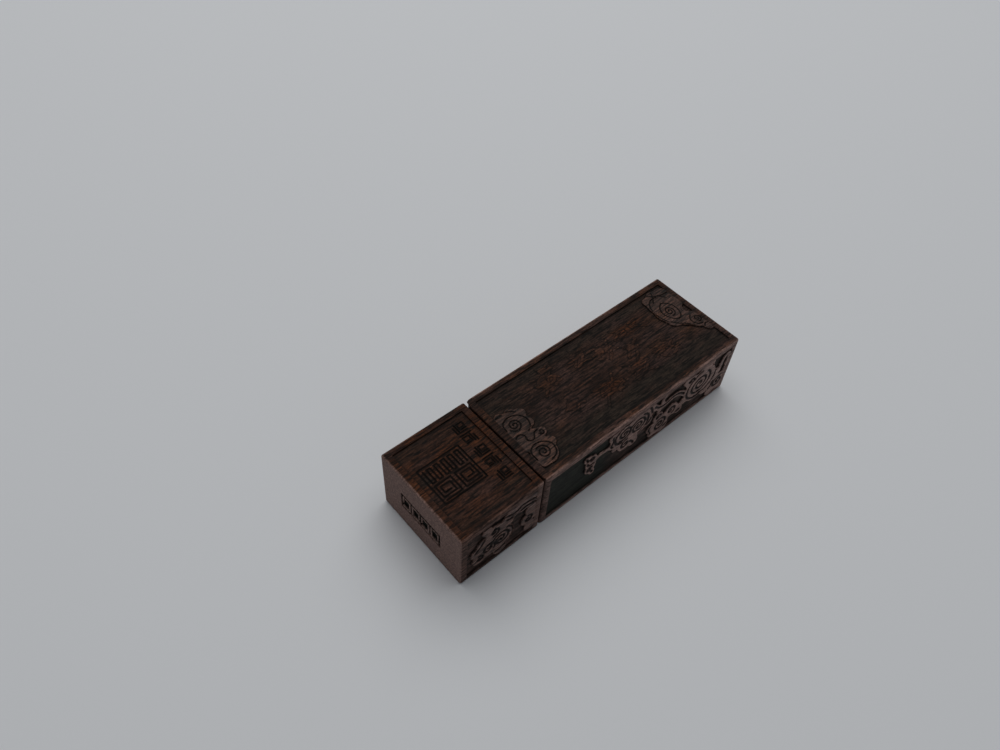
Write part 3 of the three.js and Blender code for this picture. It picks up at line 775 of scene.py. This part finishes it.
    matt = add_node(tree, "Math", {"operation": "MULTIPLY_ADD"}, _0=amount["polish"], _1=-0.2, _2=0.65)
    rough = add_node(tree, "Math", {"operation": "MULTIPLY_ADD"}, _0=grain["fibres"], _1=0.15, _2=matt)
    tree.links.new(rough.outputs[0], shader.inputs["Roughness"])
    shader.inputs["Specular IOR Level"].default_value = 0.12
    # pores stand open on the long faces, and the end is sanded smooth
    height = add_node(tree, "Math", {"operation": "SUBTRACT"}, _0=grain["fibres"], _1=amount["pore"])
    smoothness = add_node(tree, "MapRange", Value=mark["plain_end"], To_Min=0.4, To_Max=0.04)
    bump = add_node(tree, "Bump", Strength=smoothness, Distance=0.00004, Height=height)
    tree.links.new(bump.outputs["Normal"], shader.inputs["Normal"])
    return material


rosewood = rosewood_material()
wood_clearance = 0.25  # between the wood and the plug
nose_clearance = 2.3  # beyond the plug's nose in the cap
board_clearance = 0.7  # behind the board in the body
bore_clearance = 0.1  # round a magnet
plug_low, plug_high = corners_mm("plug_shell")
side_clearance = np.array((0, wood_clearance, wood_clearance))


def bores_for(nodes, mouth_x):
    """The bores that hold a pair of magnets, run out through the meeting face."""
    bores = []
    for node in nodes:
        low, high = corners_mm(node)
        centre = (low + high) / 2
        inward = math.copysign(1, centre[0] - mouth_x)
        deep = centre[0] + inward * ((high[0] - low[0]) / 2 + bore_clearance)
        mouth = mouth_x - inward
        middle = Vector(((deep + mouth) / 2, centre[1], centre[2]))
        bores.append((middle, (high[1] - low[1]) / 2 + bore_clearance, abs(mouth - deep)))
    return bores


def even(value):
    return lambda u, v: np.full(len(u), value)


def broad_scorch(u, v):
    """Darker along both edges of the field and beside the seam, and browner down its middle."""
    edges = smooth_step(-3.6, -6.4, v) + 0.75 * smooth_step(5.8, 7.8, v)
    return 0.22 + 0.42 * np.maximum(edges, 0.6 * smooth_step(11.0, 7.5, u))


def broad_warmth(u, v):
    """Warm where the worn figures are."""
    warm = np.full(len(u), 0.1)
    for place_u, place_v, long, wide, *_, rubbed in figures:
        warm = np.maximum(warm, rubbed * np.exp(-((u - place_u) / long) ** 2 - ((v - place_v) / wide) ** 2))
    return warm


def side_scorch(u, v):
    """Greenish black in the blank part beside the seam, and browner among the clouds."""
    return 0.85 - 0.22 * smooth_step(13.0, 19.0, u)


def four_faces(low, high, top, under, side, broad_look, side_look):
    """The long faces of a block, each with its panel inside the border. A look is where the ground is
    scorched and where it is warm."""
    length, half, tall = high[0] - low[0], high[1], high[2] - low[2]
    broad_panel = ((border, border - half), (length - border, half - border))
    side_panel = ((border, foot_border), (length - border, tall - border))
    across, up = (low[0], 0), (low[0], low[2])
    return [
        CarvedFace(3, high[2], 0, 1, across, broad_panel, broad_depth, top, *broad_look),
        CarvedFace(-3, low[2], 0, 1, across, broad_panel, broad_depth, under, *broad_look),
        CarvedFace(-2, low[1], 0, 2, up, side_panel, side_depth, side, *side_look),
        CarvedFace(2, high[1], 0, 2, up, side_panel, side_depth, side, *side_look),
    ]


def rule_block(bm, low, high, plate=()):
    for axis in range(3):
        edges = [(low[axis] + border, 1), (high[axis] - border, -1)]
        edges += [(low[axis] + foot_border, 1)] * (axis == 2)
        edges += [each for plate_axis, *each in plate if plate_axis == axis]
        rule(bm, axis, low[axis], high[axis], edges)


def cap_scorch(u, v):
    """Hardly scorched but for its edges and a patch by the fret work."""
    patch = np.exp(-((u - 3.2) / 1.6) ** 2 - ((v - 1.6) / 2.6) ** 2)
    return 0.05 + 0.42 * np.maximum(smooth_step(4.0, 8.6, np.abs(v + 0.5)), patch)


# The cap. Its pocket clears the plug's nose, and a plate with a row of squared scrolls is sunk in its end.
cap_high = corners_mm("cap_block")[1]
pocket = np.array([plug_low - side_clearance, plug_high + side_clearance])
pocket[:, 0] = (plug_low[0] - nose_clearance, cap_high[0] + 1)
bores = bores_for(("cap_magnet_left", "cap_magnet_right"), cap_high[0])
bm, low, high = block_solid("cap_block", cap_high[0], pocket, bores)
plate = np.array((5.45, 2.15))  # half its width and height
plate_depth = 0.5
middle_z = (low[2] + high[2]) / 2
plate_edges = [
    (1, -plate[0], 1), (1, plate[0], -1),
    (2, middle_z - plate[1], 1), (2, middle_z + plate[1], -1),
]
rule_block(bm, low, high, plate_edges)
broad_look = (cap_scorch, even(0.78))
faces = four_faces(low, high, cap_top, Drawing(), cap_side, broad_look, (even(0.48), even(0.3)))
plate_panel = (-plate, plate)
faces.append(
    CarvedFace(-1, low[0], 1, 2, (0, middle_z), plate_panel, plate_depth, plate_scrolls, even(0.8), even(0))
)
marks = carve(bm, faces, low, high, low[0], warm=0.8, wear=0, pale_side=0.33, pale_seam=0.75, pale_end=1)
finish_block(bm, "carved_cap", marks, "cap", "cap_block")

# The body. Its slot runs in past the plug and the board.
body_low = corners_mm("body_block")[0]
slot = np.array([plug_low - side_clearance, plug_high + side_clearance])
slot[:, 0] = (body_low[0] - 1, corners_mm("circuit_board")[1][0] + board_clearance)
bores = bores_for(("body_magnet_left", "body_magnet_right"), body_low[0])
bm, low, high = block_solid("body_block", body_low[0], slot, bores)
rule_block(bm, low, high)
broad_look = (broad_scorch, broad_warmth)
faces = four_faces(low, high, body_top, underside, body_side, broad_look, (side_scorch, even(0)))
marks = carve(bm, faces, low, high, high[0], warm=0.1, wear=0.8, pale_side=0.78, pale_seam=0.5, pale_end=0.4)
finish_block(bm, "carved_body", marks, "body", "body_block")

# ---------------------------------------------------------------- the magnets
# Four small discs of neodymium, pressed into bores in the meeting faces, two to each block. They are plated
# with bright nickel, and their rims are tumbled round.
magnet_rim = 0.15
folded_edge_angle = math.radians(35)


def bright_nickel_material():
    """Nickel plated on a tumbled disc: a mirror that is a little clouded."""
    material, tree, shader = new_material("bright_nickel_plate")
    place = add_node(tree, "TexCoord").outputs["Object"]
    cloud = add_node(tree, "TexNoise", Vector=place, Scale=1 / (0.4 * MM), Detail=3.0)
    rough = add_node(tree, "MapRange", Value=cloud, To_Min=0.14, To_Max=0.32)
    tree.links.new(rough.outputs[0], shader.inputs["Roughness"])
    shader.inputs["Base Color"].default_value = linear("#c9ccd0")
    shader.inputs["Metallic"].default_value = 1
    return material


def finish_piece(bm, name, materials, body, slot, *nodes):
    """Makes the finished piece from a mesh in mm, puts it on its body, and hides the nodes it stands for."""
    bmesh.ops.remove_doubles(bm, verts=bm.verts, dist=weld_distance)
    bmesh.ops.scale(bm, vec=(MM, MM, MM), verts=bm.verts)
    bmesh.ops.recalc_face_normals(bm, faces=bm.faces)
    mesh = bpy.data.meshes.new(name)
    bm.to_mesh(mesh)
    bm.free()
    for material in materials:
        mesh.materials.append(material)
    mesh.shade_smooth()
    mesh.set_sharp_from_angle(angle=folded_edge_angle)
    piece = bpy.data.objects.new(name, mesh)
    bpy.context.scene.collection.objects.link(piece)
    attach(piece, body)
    if nodes:
        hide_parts(*nodes)


bright_nickel = bright_nickel_material()
for body in ("cap", "body"):
    for hand in ("left", "right"):
        node = f"{body}_magnet_{hand}"
        low, high = corners_mm(node)
        lie_down = Matrix.Translation((low + high) / 2) @ Matrix.Rotation(math.pi / 2, 4, "Y")
        radius = (high[1] - low[1]) / 2
        bm = bmesh.new()
        bmesh.ops.create_cone(bm, cap_ends=True, segments=64, radius1=radius, radius2=radius,
                              depth=high[0] - low[0], matrix=lie_down)
        rims = [e for e in bm.edges if abs(e.verts[0].co.x - e.verts[1].co.x) < 1e-4]
        bmesh.ops.bevel(bm, geom=rims, offset=magnet_rim, affect="EDGES", segments=3, profile=0.5,
                        material=-1)
        finish_piece(bm, f"magnet_{body}_{hand}", [bright_nickel], body, "bright_nickel", node)

# ---------------------------------------------------------------- the plug's shell
# A type A plug's shell: steel sheet folded into a flat tube and plated with nickel, with two latch windows
# above and two below. Its two lugs are soldered into the notches of the board. The press leaves soft edges.
shell_edge = 0.07
eased_edge_angle = math.radians(50)


def eased_copy(node, edge):
    """The node's own shape in mm, welded, with its sharp edges eased."""
    bm = bmesh.new()
    bm.from_mesh(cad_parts[node].data)
    bmesh.ops.scale(bm, vec=(1 / MM, 1 / MM, 1 / MM), verts=bm.verts)
    bmesh.ops.remove_doubles(bm, verts=bm.verts, dist=weld_distance)
    bmesh.ops.dissolve_limit(bm, angle_limit=math.radians(1), verts=bm.verts, edges=bm.edges)
    sharp = [e for e in bm.edges if e.is_manifold and e.calc_face_angle() > eased_edge_angle]
    bmesh.ops.bevel(bm, geom=sharp, offset=edge, affect="EDGES", segments=2, profile=0.5, material=-1,
                    clamp_overlap=True)
    return bm


def plated_steel_material():
    """Nickel on pressed sheet: grey, fairly bright, with faint rolling marks along the plug."""
    material, tree, shader = new_material("nickel_plated_steel")
    place = add_node(tree, "TexCoord").outputs["Object"]
    stretch = (1 / (3 * MM), 1 / (0.12 * MM), 1 / (0.12 * MM))  # rolling marks, 3 mm long
    vector = add_node(tree, "Mapping", Vector=place, Scale=stretch)
    rolling = add_node(tree, "TexNoise", Vector=vector, Scale=1.0, Detail=4.0)
    rough = add_node(tree, "MapRange", Value=rolling, From_Min=0.3, From_Max=0.7, To_Min=0.2, To_Max=0.38)
    tree.links.new(rough.outputs[0], shader.inputs["Roughness"])
    bump = add_node(tree, "Bump", Strength=0.15, Distance=0.00001, Height=rolling)
    tree.links.new(bump.outputs["Normal"], shader.inputs["Normal"])
    shader.inputs["Base Color"].default_value = linear("#b9bcc0")
    shader.inputs["Metallic"].default_value = 1
    return material


plated_steel = plated_steel_material()
finish_piece(eased_copy("plug_shell", shell_edge), "plug_shell_finished", [plated_steel], "body",
             "nickel_steel", "plug_shell")

# ---------------------------------------------------------------- the plug's tongue
# The plastic insulator inside the shell. It is moulded in white glass-filled plastic, which is hard and
# satin, and it has an open channel for each contact.
tongue_edge = 0.08


def moulded_plastic_material():
    """White glass-filled plastic off a fine-sparked mould: satin, with a grain that is just there."""
    material, tree, shader = new_material("white_moulded_plastic")
    place = add_node(tree, "TexCoord").outputs["Object"]
    spark = add_node(tree, "TexNoise", Vector=place, Scale=1 / (0.08 * MM), Detail=2.0)
    tone = add_node(tree, "Mix", {"data_type": "RGBA"}, _0=spark, _6=linear("#dedbd2"), _7=linear("#efede6"))
    tree.links.new(tone.outputs[2], shader.inputs["Base Color"])
    bump = add_node(tree, "Bump", Strength=0.2, Distance=0.00001, Height=spark)
    tree.links.new(bump.outputs["Normal"], shader.inputs["Normal"])
    shader.inputs["Roughness"].default_value = 0.42
    return material


finish_piece(eased_copy("plug_tongue", tongue_edge), "plug_tongue_finished", [moulded_plastic_material()],
             "body", "white_plastic", "plug_tongue")

# ---------------------------------------------------------------- the four contacts
# Flat strips of phosphor bronze, plated with gold. The outer two reach nearer the nose, so that power meets
# the socket first. Their tails are soldered to the board.
contact_edge = 0.05
contacts = ("contact_power", "contact_data_minus", "contact_data_plus", "contact_ground")


def gold_plate_material():
    """Thin gold over nickel: a clean yellow, rubbed a little along the strip."""
    material, tree, shader = new_material("gold_flash_plate")
    place = add_node(tree, "TexCoord").outputs["Object"]
    stretch = (1 / (2 * MM), 1 / (0.1 * MM), 1 / (0.1 * MM))  # rubbing marks, 2 mm long
    vector = add_node(tree, "Mapping", Vector=place, Scale=stretch)
    rubbing = add_node(tree, "TexNoise", Vector=vector, Scale=1.0, Detail=3.0)
    tone = add_node(tree, "Mix", {"data_type": "RGBA"}, _0=rubbing, _6=linear("#c8973a"),
                    _7=linear("#e3b85a"))
    tree.links.new(tone.outputs[2], shader.inputs["Base Color"])
    rough = add_node(tree, "MapRange", Value=rubbing, To_Min=0.18, To_Max=0.35)
    tree.links.new(rough.outputs[0], shader.inputs["Roughness"])
    shader.inputs["Metallic"].default_value = 1
    return material


gold_plate = gold_plate_material()
for node in contacts:
    bm = eased_copy(node, contact_edge)
    finish_piece(bm, node + "_finished", [gold_plate], "body", "gold_plate", node)

# ---------------------------------------------------------------- the circuit board
# Two copper layers on glass epoxy under a green mask, milled to shape, so that the bare laminate shows round
# the edge. Each soldered end has a tinned pad.
board_edge = 0.04
pad_thickness = 0.035
pad_margin = 0.2
pad_share = 0.28  # of the length of what is soldered, under each of its ends
pad_corner = 0.1
pad_inset = 0.4  # from the board's front edge to the contacts' pads
board_low, board_high = corners_mm("circuit_board")
two_ended = (
    "supply_bead", "data_resistor_minus", "data_resistor_plus", "lamp_resistor", "crystal_capacitor_left",
    "crystal_capacitor_right", "supply_capacitor", "core_capacitor", "activity_lamp",
)


def solder_mask_material():
    """Green mask over etched copper: glossy, and paler where a track runs under it."""
    material, tree, shader = new_material("green_solder_mask")
    place = add_node(tree, "TexCoord").outputs["Object"]
    vector = add_node(tree, "Mapping", Vector=place, Scale=(1 / MM, 1 / MM, 1 / MM))
    rows = {"offset": 0.37, "squash": 0.6, "squash_frequency": 3}
    tracks = add_node(tree, "TexBrick", rows, Vector=vector, Scale=1.0, Mortar_Size=0.09, Mortar_Smooth=0.1,
                      Brick_Width=3.1, Row_Height=0.62)
    tone = add_node(tree, "Mix", {"data_type": "RGBA"}, _0=tracks.outputs["Fac"], _6=linear("#124a2a"),
                    _7=linear("#27714a"))
    tree.links.new(tone.outputs[2], shader.inputs["Base Color"])
    bump = add_node(tree, "Bump", Strength=0.4, Distance=0.00003, Height=tracks.outputs["Fac"])
    tree.links.new(bump.outputs["Normal"], shader.inputs["Normal"])
    shader.inputs["Roughness"].default_value = 0.3
    return material


def glass_epoxy_material():
    """The milled edge of glass epoxy laminate: straw-coloured and dull, with the glass in thin layers."""
    material, tree, shader = new_material("glass_epoxy_edge")
    place = add_node(tree, "TexCoord").outputs["Object"]
    vector = add_node(tree, "Mapping", Vector=place, Scale=(1 / MM, 1 / MM, 1 / (0.1 * MM)))
    layers = add_node(tree, "TexNoise", Vector=vector, Scale=1.0, Detail=2.0)
    tone = add_node(tree, "Mix", {"data_type": "RGBA"}, _0=layers, _6=linear("#a39a63"),
                    _7=linear("#cfc692"))
    tree.links.new(tone.outputs[2], shader.inputs["Base Color"])
    shader.inputs["Roughness"].default_value = 0.75
    return material


def solder_material():
    """Reflowed tin solder and tinned leads: soft bright grey with a slightly wavy skin."""
    material, tree, shader = new_material("reflowed_tin_solder")
    place = add_node(tree, "TexCoord").outputs["Object"]
    skin = add_node(tree, "TexNoise", Vector=place, Scale=1 / (0.3 * MM), Detail=2.0)
    rough = add_node(tree, "MapRange", Value=skin, To_Min=0.22, To_Max=0.45)
    tree.links.new(rough.outputs[0], shader.inputs["Roughness"])
    bump = add_node(tree, "Bump", Strength=0.3, Distance=0.00002, Height=skin)
    tree.links.new(bump.outputs["Normal"], shader.inputs["Normal"])
    shader.inputs["Base Color"].default_value = linear("#c3c5c6")
    shader.inputs["Metallic"].default_value = 1
    return material


bm = eased_copy("circuit_board", board_edge)
for face in bm.faces:
    face.material_index = 0 if abs(face.normal.z) > 0.9 else 1
finish_piece(bm, "circuit_board_finished", [solder_mask_material(), glass_epoxy_material()], "body",
             "solder_mask", "circuit_board")

solder = solder_material()
pads = []
for node in two_ended:
    low, high = corners_mm(node)
    pad_reach = (high[1] - low[1]) * pad_share
    pads.append(((low[0], low[1] - pad_margin), (high[0], low[1] + pad_reach)))
    pads.append(((low[0], high[1] - pad_reach), (high[0], high[1] + pad_margin)))
for node in contacts:
    low, high = corners_mm(node)
    pads.append((
        (board_low[0] + pad_inset, low[1] - pad_margin / 2),
        (high[0] + pad_margin, high[1] + pad_margin / 2),
    ))
bm = bmesh.new()
for (x0, y0), (x1, y1) in pads:
    corners = bmesh.ops.create_cube(bm, size=1)["verts"]
    bmesh.ops.scale(bm, vec=(x1 - x0, y1 - y0, pad_thickness), verts=corners)
    middle = ((x0 + x1) / 2, (y0 + y1) / 2, board_high[2] + pad_thickness / 2)
    bmesh.ops.translate(bm, vec=middle, verts=corners)
    upright = {e for v in corners for e in v.link_edges if abs(e.verts[0].co.z - e.verts[1].co.z) > 1e-4}
    bmesh.ops.bevel(bm, geom=list(upright), offset=pad_corner, affect="EDGES", segments=3, profile=0.5,
                    material=-1)
finish_piece(bm, "board_pads", [solder], "body", "solder_mask")

# ---------------------------------------------------------------- the two big chips
# The controller above the board and the memory chip below it: black epoxy moulded round a frame of tinned
# copper leads, which bend out and down to the board like wings.
chip_edge = 0.05
lead_reach = {"controller_chip": (1, 1), "flash_chip": (0.8, 0)}  # beyond the moulding, along X and Y
slack = 0.01  # so that the moulding's own sides stay black


def moulded_epoxy_material():
    """Black filled epoxy: matt, with the mould's fine spark grain."""
    material, tree, shader = new_material("black_moulded_epoxy")
    place = add_node(tree, "TexCoord").outputs["Object"]
    grain = add_node(tree, "TexNoise", Vector=place, Scale=1 / (0.09 * MM), Detail=3.0)
    tone = add_node(tree, "Mix", {"data_type": "RGBA"}, _0=grain, _6=linear("#141416"), _7=linear("#26262a"))
    tree.links.new(tone.outputs[2], shader.inputs["Base Color"])
    bump = add_node(tree, "Bump", Strength=0.3, Distance=0.00002, Height=grain)
    tree.links.new(bump.outputs["Normal"], shader.inputs["Normal"])
    shader.inputs["Roughness"].default_value = 0.6
    return material


moulded_epoxy = moulded_epoxy_material()
for node, reach in lead_reach.items():
    low, high = corners_mm(node)
    bm = eased_copy(node, chip_edge)
    for face in bm.faces:
        middle = face.calc_center_median()
        leads = any(
            reach[i] and not low[i] + reach[i] - slack <= middle[i] <= high[i] - reach[i] + slack
            for i in (0, 1)
        )
        face.material_index = 1 if leads else 0
    finish_piece(bm, node + "_finished", [moulded_epoxy, solder], "body", "black_epoxy", node)

# ---------------------------------------------------------------- the crystal
# A drawn metal can with a quartz fork sealed in it. It lies on the board, and its two wires come out of one
# end and bend down to it.
crystal_edge = 0.12


def drawn_can_material():
    """Nickel silver drawn into a can: soft grey, with fine lines along the draw."""
    material, tree, shader = new_material("drawn_nickel_silver")
    place = add_node(tree, "TexCoord").outputs["Object"]
    stretch = (1 / (0.1 * MM), 1 / (2 * MM), 1 / (0.1 * MM))  # drawing lines, 2 mm long
    vector = add_node(tree, "Mapping", Vector=place, Scale=stretch)
    lines = add_node(tree, "TexNoise", Vector=vector, Scale=1.0, Detail=3.0)
    rough = add_node(tree, "MapRange", Value=lines, To_Min=0.22, To_Max=0.42)
    tree.links.new(rough.outputs[0], shader.inputs["Roughness"])
    shader.inputs["Base Color"].default_value = linear("#c4c3be")
    shader.inputs["Metallic"].default_value = 1
    return material


finish_piece(eased_copy("crystal", crystal_edge), "crystal_finished", [drawn_can_material()], "body",
             "crystal_can", "crystal")

# ---------------------------------------------------------------- the chip parts
# Resistors, a bead and capacitors: small fired ceramic blocks with a tinned cap at each end, soldered across
# the board.
end_share = 0.2  # of the length, to each tinned cap
end_step = 0.02  # past it, down to the ceramic
chip_part_edge = 0.04


def fired_ceramic_material(name, dark, pale):
    """Fired ceramic: dense and dull, with a fine salt grain."""
    material, tree, shader = new_material(name)
    place = add_node(tree, "TexCoord").outputs["Object"]
    salt = add_node(tree, "TexNoise", Vector=place, Scale=1 / (0.06 * MM), Detail=3.0)
    tone = add_node(tree, "Mix", {"data_type": "RGBA"}, _0=salt, _6=linear(dark), _7=linear(pale))
    tree.links.new(tone.outputs[2], shader.inputs["Base Color"])
    shader.inputs["Roughness"].default_value = 0.55
    return material


tan_ceramic = fired_ceramic_material("tan_titanate_ceramic", "#8d6d49", "#b49469")
black_ceramic = fired_ceramic_material("black_coated_ceramic", "#17171a", "#2c2c30")
for node in two_ended[:-1]:
    low, high = corners_mm(node)
    cap = (high[1] - low[1]) * end_share + end_step
    bm = eased_copy(node, chip_part_edge)
    for face in bm.faces:
        middle = face.calc_center_median()
        face.material_index = 1 if middle.y < low[1] + cap or middle.y > high[1] - cap else 0
    capacitor = "capacitor" in node
    finish_piece(bm, node + "_finished", [tan_ceramic if capacitor else black_ceramic, solder], "body",
                 "tan_ceramic" if capacitor else "black_ceramic", node)

# ---------------------------------------------------------------- the lamp
# A chip lamp at the tail of the board: a white base with a clear epoxy lens cast on it. It shows through no
# window, so it serves the test bench only.
lamp_edge = 0.05


def cast_lens_material():
    """Clear epoxy, a little milky over the white base under it."""
    material, tree, shader = new_material("cast_clear_epoxy")
    place = add_node(tree, "TexCoord").outputs["Object"]
    milk = add_node(tree, "TexNoise", Vector=place, Scale=1 / (0.5 * MM), Detail=2.0)
    tone = add_node(tree, "Mix", {"data_type": "RGBA"}, _0=milk, _6=linear("#dbe5ee"), _7=linear("#f2f5f7"))
    tree.links.new(tone.outputs[2], shader.inputs["Base Color"])
    shader.inputs["Roughness"].default_value = 0.12
    return material


finish_piece(eased_copy("activity_lamp", lamp_edge), "activity_lamp_finished", [cast_lens_material()],
             "body", "clear_lens", "activity_lamp")
